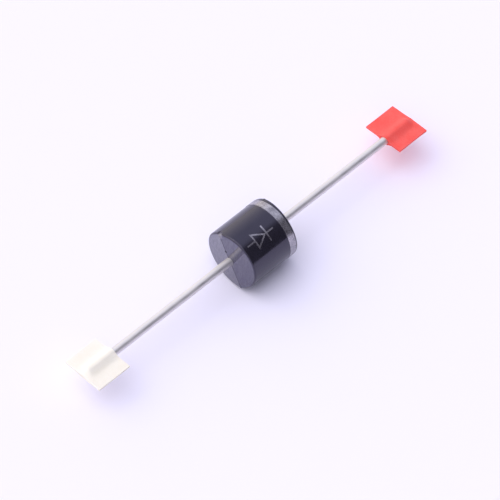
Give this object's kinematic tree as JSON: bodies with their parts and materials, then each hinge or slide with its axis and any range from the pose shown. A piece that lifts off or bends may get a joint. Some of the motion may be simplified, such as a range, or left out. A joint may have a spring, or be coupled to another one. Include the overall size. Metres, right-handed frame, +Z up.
{
  "type": "axial rectifier diode",
  "caption": "Moulded black rectifier diode with a grey cathode band, straight tinned leads and the red and white tape tabs that carried it.",
  "frame": {"origin": "middle of the moulded body, on the axis of the leads", "axes": "+X along the leads towards the cathode and its band, +Z up as the body lies on its side"},
  "size_m": [0.0634, 0.009, 0.009],
  "materials": {
    "resin": "glossy black moulded epoxy",
    "ink": "silver grey printing ink",
    "tinned_wire": "drawn copper wire with bright tin plating",
    "solder": "dull high temperature solder",
    "silicon": "dark polished silicon",
    "silicone_rubber": "milky soft rubber",
    "red_tape": "smooth red adhesive tape",
    "white_tape": "off-white paper adhesive tape"
  },
  "bodies": {
    "root": {"moulded_body": "resin", "cathode_band": "ink", "cathode_lead": "tinned_wire", "anode_lead": "tinned_wire", "silicon_die": "silicon", "cathode_solder": "solder", "anode_solder": "solder", "junction_coating": "silicone_rubber", "red_tape_top": "red_tape", "red_tape_bottom": "red_tape", "white_tape_top": "white_tape", "white_tape_bottom": "white_tape"}
  },
  "joints": []
}
